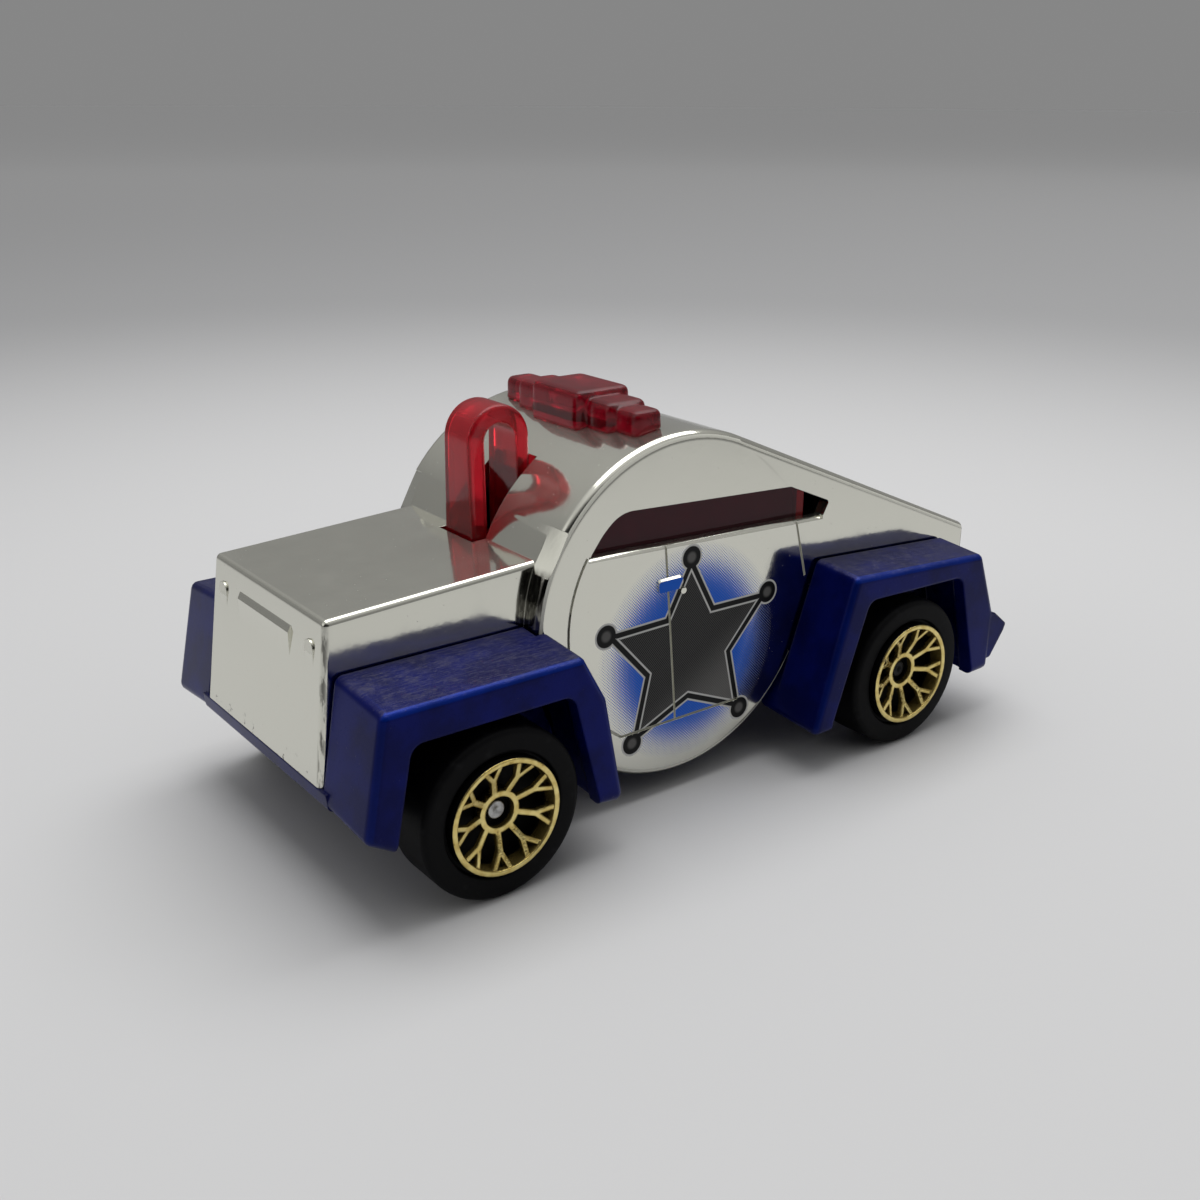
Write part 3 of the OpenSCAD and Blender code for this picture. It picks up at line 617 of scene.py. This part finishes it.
def redFinish(nodeName, name, tone, look):
    finish = Finish(name + "_finish")
    place = finish.place()
    cloud = finish.noise(place, *look["cloud"])
    grain = finish.noise(place, *look["grain"])
    deep = [c * look["deeper"] for c in tone[:3]] + [1]
    colour = finish.blend(finish.ease(cloud, 0.35, 0.65), tone, deep)
    if nodeName == "window_insert":
        # painted glow: a brighter red at the pane's rear end, standing in for light caught in the
        # clear plastic
        fromEnd = finish.split(place)[0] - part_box(nodeName)[0].x / mm
        endGlow = 1 - finish.ease(fromEnd, *look["endStripFade"])
        colour = finish.blend(endGlow, colour, look["endStrip"])
    top = finish.ease(finish.facing()[2], *look["topFacing"])
    height = cloud * 0.04 + grain * 0.002
    return finish.surface({
        "Base Color": colour,
        "Roughness": look["haze"][nodeName] + grain * 0.05 + top * 0.28,
        "Transmission Weight": look["clear"][nodeName],
        "Specular IOR Level": look["gloss"],
        "IOR": look["index"],
        "Normal": finish.relief(height, 0.4, look["rounding"][nodeName]),
    })


# the bar's blocks are as soft-edged as moulded jelly
def roundBar(piece, look):
    even = piece.modifiers.new("even", "REMESH")
    even.mode = "VOXEL"
    even.voxel_size = look["barGrid"] * mm
    bpy.ops.object.modifier_apply(modifier=even.name)
    axisX, axisZ, foot = look["barFoot"]
    chosen = []
    for vertex in piece.data.vertices:
        x, y, z = vertex.co / mm
        if math.hypot(x - axisX, z - axisZ) > foot:
            chosen.append(vertex.index)
    above = piece.vertex_groups.new(name="above")
    above.add(chosen, 1.0, "REPLACE")
    soft = piece.modifiers.new("soft", "SMOOTH")
    soft.vertex_group = above.name
    soft.factor = 0.5
    soft.iterations = look["barSoftness"]
    bpy.ops.object.modifier_apply(modifier=soft.name)


blackWheel = {
    "slot": "black_wheel",
    "smooth": 28,
    "colour": (0.0035, 0.0035, 0.004, 1),
    "dust": (0.03, 0.03, 0.032, 1),
    "roughness": 0.45,
    "rounding": 0.12,
    "grain": (7.0, 4.0),
    "cloud": (0.7, 4.0),
    "specks": (2.4, 0.16, 0.12),
}


def wheelFinish(look):
    finish = Finish("black_wheel_finish")
    place = finish.place()
    grain = finish.noise(place, *look["grain"])
    cloud = finish.noise(place, *look["cloud"])
    specks = finish.specks(place, *look["specks"])
    dusty = finish.ease(cloud, 0.55, 0.8) * 0.3 + specks * 0.4
    return finish.surface({
        "Base Color": finish.blend(dusty, look["colour"], look["dust"]),
        "Roughness": look["roughness"] + grain * 0.14,
        "Specular IOR Level": 0.08,
        "Normal": finish.relief(grain * 0.012, 0.5, look["rounding"]),
    })


goldRim = {
    "slot": "gold_rim",
    "smooth": 30,
    "gold": (0.86, 0.72, 0.3, 1),
    "goldDeep": (0.62, 0.46, 0.14, 1),
    "wall": (0.5, 0.37, 0.11, 1),  # the sides of the spokes
    "black": (0.01, 0.01, 0.01, 1),
    "axles": (1.3, 22.4, 7.0),  # middle, half the wheelbase, height
    "outerWall": (4.55, 4.65),  # beyond this radius the walls are black
    "faceOut": (0.35, 0.6),
    "rounding": 0.2,
    "grain": (14.0, 3.0),
    "cloud": (1.2, 4.0),
    "ripple": (3.0, 2.0),
}


def goldFinish(look):
    finish = Finish("gold_rim_finish")
    place = finish.place()
    x, _, z = finish.split(place)
    cloud = finish.noise(place, *look["cloud"])
    grain = finish.noise(place, *look["grain"])
    ripple = finish.noise(place, *look["ripple"])
    wear = finish.ease(cloud + grain * 0.3, 0.78, 0.9)
    face = finish.ease(abs(finish.facing()[1]), *look["faceOut"])
    foil = (0.75 + face * 0.25) * (1 - wear * 0.8)
    gold = finish.blend(finish.ease(cloud, 0.3, 0.7), look["gold"], look["goldDeep"])
    middle, halfBase, axleZ = look["axles"]
    reach = finish.length(abs(x - middle) - halfBase, z - axleZ)
    wall = finish.blend(finish.ease(reach, *look["outerWall"]), look["wall"], look["black"])
    gold = finish.blend(face, wall, gold)
    return finish.surface({
        "Base Color": finish.blend(foil, look["black"], gold),
        "Metallic": foil,
        "Roughness": 0.36 - foil * 0.24 + grain * 0.06,
        "Normal": finish.relief(grain * 0.006 + ripple * 0.06, 0.5, look["rounding"]),
    })


steelWire = {
    "pieces": {  # bright and dull colour; the rear wire is coloured near black
        "front_axle": ((0.5, 0.5, 0.49, 1), (0.22, 0.21, 0.2, 1)),
        "rear_axle": ((0.02, 0.02, 0.02, 1), (0.006, 0.006, 0.006, 1)),
        "base_rivets": ((0.42, 0.42, 0.41, 1), (0.2, 0.19, 0.18, 1)),
    },
    "roughness": 0.28,
    "rounding": 0.08,
    "grain": (16.0, 3.0),
    "cloud": (1.6, 4.0),
}


def steelFinish(name, colour, dull, look):
    finish = Finish(name + "_finish")
    place = finish.place()
    cloud = finish.noise(place, *look["cloud"])
    grain = finish.noise(place, *look["grain"])
    return finish.surface({
        "Base Color": finish.blend(finish.ease(cloud, 0.4, 0.7), colour, dull),
        "Metallic": 1.0,
        "Roughness": look["roughness"] + grain * 0.15,
        "Normal": finish.relief(grain * 0.004, 0.4, look["rounding"]),
    })


# a skin: the CAD piece merged and smoothly shaded, so that reflections run clean
def makeSkin(nodeName, name, look, material, shape=None):
    cad = nodes[nodeName]
    mergeWithin = 0.0005 * mm
    piece = bpy.data.objects.new(name, cad.data.copy())
    bpy.context.scene.collection.objects.link(piece)
    choose(piece)
    bpy.ops.mesh.customdata_custom_splitnormals_clear()
    bpy.ops.object.mode_set(mode="EDIT")
    bpy.ops.mesh.select_all(action="SELECT")
    bpy.ops.mesh.remove_doubles(threshold=mergeWithin)
    bpy.ops.object.mode_set(mode="OBJECT")
    if shape:
        shape(piece, look)
    choose(piece)
    bpy.ops.object.shade_smooth_by_angle(angle=math.radians(look["smooth"]))
    weighted = piece.modifiers.new("evenNormals", "WEIGHTED_NORMAL")
    weighted.keep_sharp = True
    weighted.weight = 100
    bpy.ops.object.modifier_apply(modifier=weighted.name)
    piece.data.materials.clear()
    piece.data.materials.append(material)
    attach(piece, cad["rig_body"])
    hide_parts(nodeName)


shellMaterial = platedFinish(platedShell, starPrint)
makeSkin(platedShell["node"], platedShell["name"], platedShell, shellMaterial, shapeShell)
print("shell plated and printed")
makeSkin(blueBase["node"], blueBase["name"], blueBase, blueFinish(blueBase))
print("base done")
for nodeName, (name, tone) in clearRed["pieces"].items():
    shape = roundBar if nodeName == "light_bar" else None
    makeSkin(nodeName, name, clearRed, redFinish(nodeName, name, tone, clearRed), shape)
print("red pieces done")
blackMaterial = wheelFinish(blackWheel)
goldMaterial = goldFinish(goldRim)
for corner in ("front_left", "front_right", "rear_left", "rear_right"):
    makeSkin("wheel_" + corner, "tyre_" + corner, blackWheel, blackMaterial)
    makeSkin("rim_" + corner, "lattice_rim_" + corner, goldRim, goldMaterial)
print("wheels and rims done")
for nodeName, (colour, dull) in steelWire["pieces"].items():
    nodes[nodeName].data.materials.clear()
    nodes[nodeName].data.materials.append(steelFinish(nodeName, colour, dull, steelWire))
print("axles and rivets done")

# studio: pale floor whose colour is painted darker away from the car as a painted light falloff
# towards a grey backdrop, soft light from above
studio = {
    "floorRadius": 4.0,  # m
    "floorSides": 96,
    "floorGrain": (0.9, 3.0),
    "near": (0.6, 0.6, 0.605, 1),
    "mid": (0.33, 0.33, 0.335, 1),
    "far": (0.5, 0.5, 0.505, 1),
    "midFade": (70.0, 300.0),  # mm from the car
    "farFade": (330.0, 1000.0),
    "lampSize": (0.7, 0.4),  # long side fore and aft
    "lampPlace": (-0.17, -0.08, 0.54),
    "lampPower": 2.7,
    "sky": [  # from straight down to straight up
        (0.0, (0.24, 0.24, 0.24, 1)),
        (0.5, (0.24, 0.24, 0.24, 1)),
        (0.68, (0.235, 0.235, 0.235, 1)),
        (0.85, (0.42, 0.42, 0.415, 1)),
        (1.0, (0.8, 0.8, 0.8, 1)),
    ],
    "shade": (0.616, 0.788, 0.0),  # the dark side of the room, behind the camera
    "shadeEdge": (0.45, 0.85),
    "shadeDepth": 0.95,
    "shadeTone": (0.0, 0.0, 0.0, 1),
    "window": (0.87, -0.17, 0.463),  # a paler part of the room, ahead of the car
    "windowEdge": (0.88, 0.97),
    "windowTone": (0.75, 0.75, 0.74, 1),
}


def makeFloor(look):
    bpy.ops.object.select_all(action="DESELECT")
    bpy.ops.mesh.primitive_circle_add(
        vertices=look["floorSides"], radius=look["floorRadius"], fill_type="NGON")
    floor = bpy.context.object
    floor.name = "floor"
    finish = Finish("floor_finish")
    place = finish.place()
    x, y, _ = finish.split(place)
    reach = finish.length(x, y)
    grain = finish.noise(place, *look["floorGrain"])
    # painted light falloff: the floor's colour goes from pale near the car to a darker ring, then
    # to mid grey far off
    colour = finish.blend(finish.ease(reach, *look["midFade"]), look["near"], look["mid"])
    colour = finish.blend(finish.ease(reach, *look["farFade"]), colour, look["far"])
    floor.data.materials.append(finish.surface({
        "Base Color": colour,
        "Roughness": 0.55 + grain * 0.1,
        "Specular IOR Level": 0.25,
    }))


def makeLight(look):
    world = bpy.data.worlds.new("studio")
    bpy.context.scene.world = world
    world.use_nodes = True
    finish = Finish("studio", world.node_tree)
    way = finish.node("ShaderNodeTexCoord", out="Generated")
    height = finish.split(way)[2] * 0.5 + 0.5
    sky = finish.node("ShaderNodeValToRGB", {"stops": look["sky"]}, {"Fac": height})
    unseen = 1 - finish.node("ShaderNodeLightPath", out="Is Camera Ray")
    shade = finish.ease(finish.dot(way, look["shade"]), *look["shadeEdge"])
    sky = finish.blend(shade * look["shadeDepth"] * unseen, sky, look["shadeTone"])
    window = finish.ease(finish.dot(way, look["window"]), *look["windowEdge"])
    sky = finish.blend(window * unseen, sky, look["windowTone"])
    glow = finish.node("ShaderNodeBackground", None, {"Color": sky, "Strength": 1.0})
    finish.node("ShaderNodeOutputWorld", None, {"Surface": glow})
    bpy.ops.object.light_add(type="AREA", location=look["lampPlace"])
    lamp = bpy.context.object
    lamp.data.shape = "RECTANGLE"
    lamp.data.size = look["lampSize"][0]
    lamp.data.size_y = look["lampSize"][1]
    lamp.data.energy = look["lampPower"]


makeFloor(studio)
makeLight(studio)
print("studio lit")
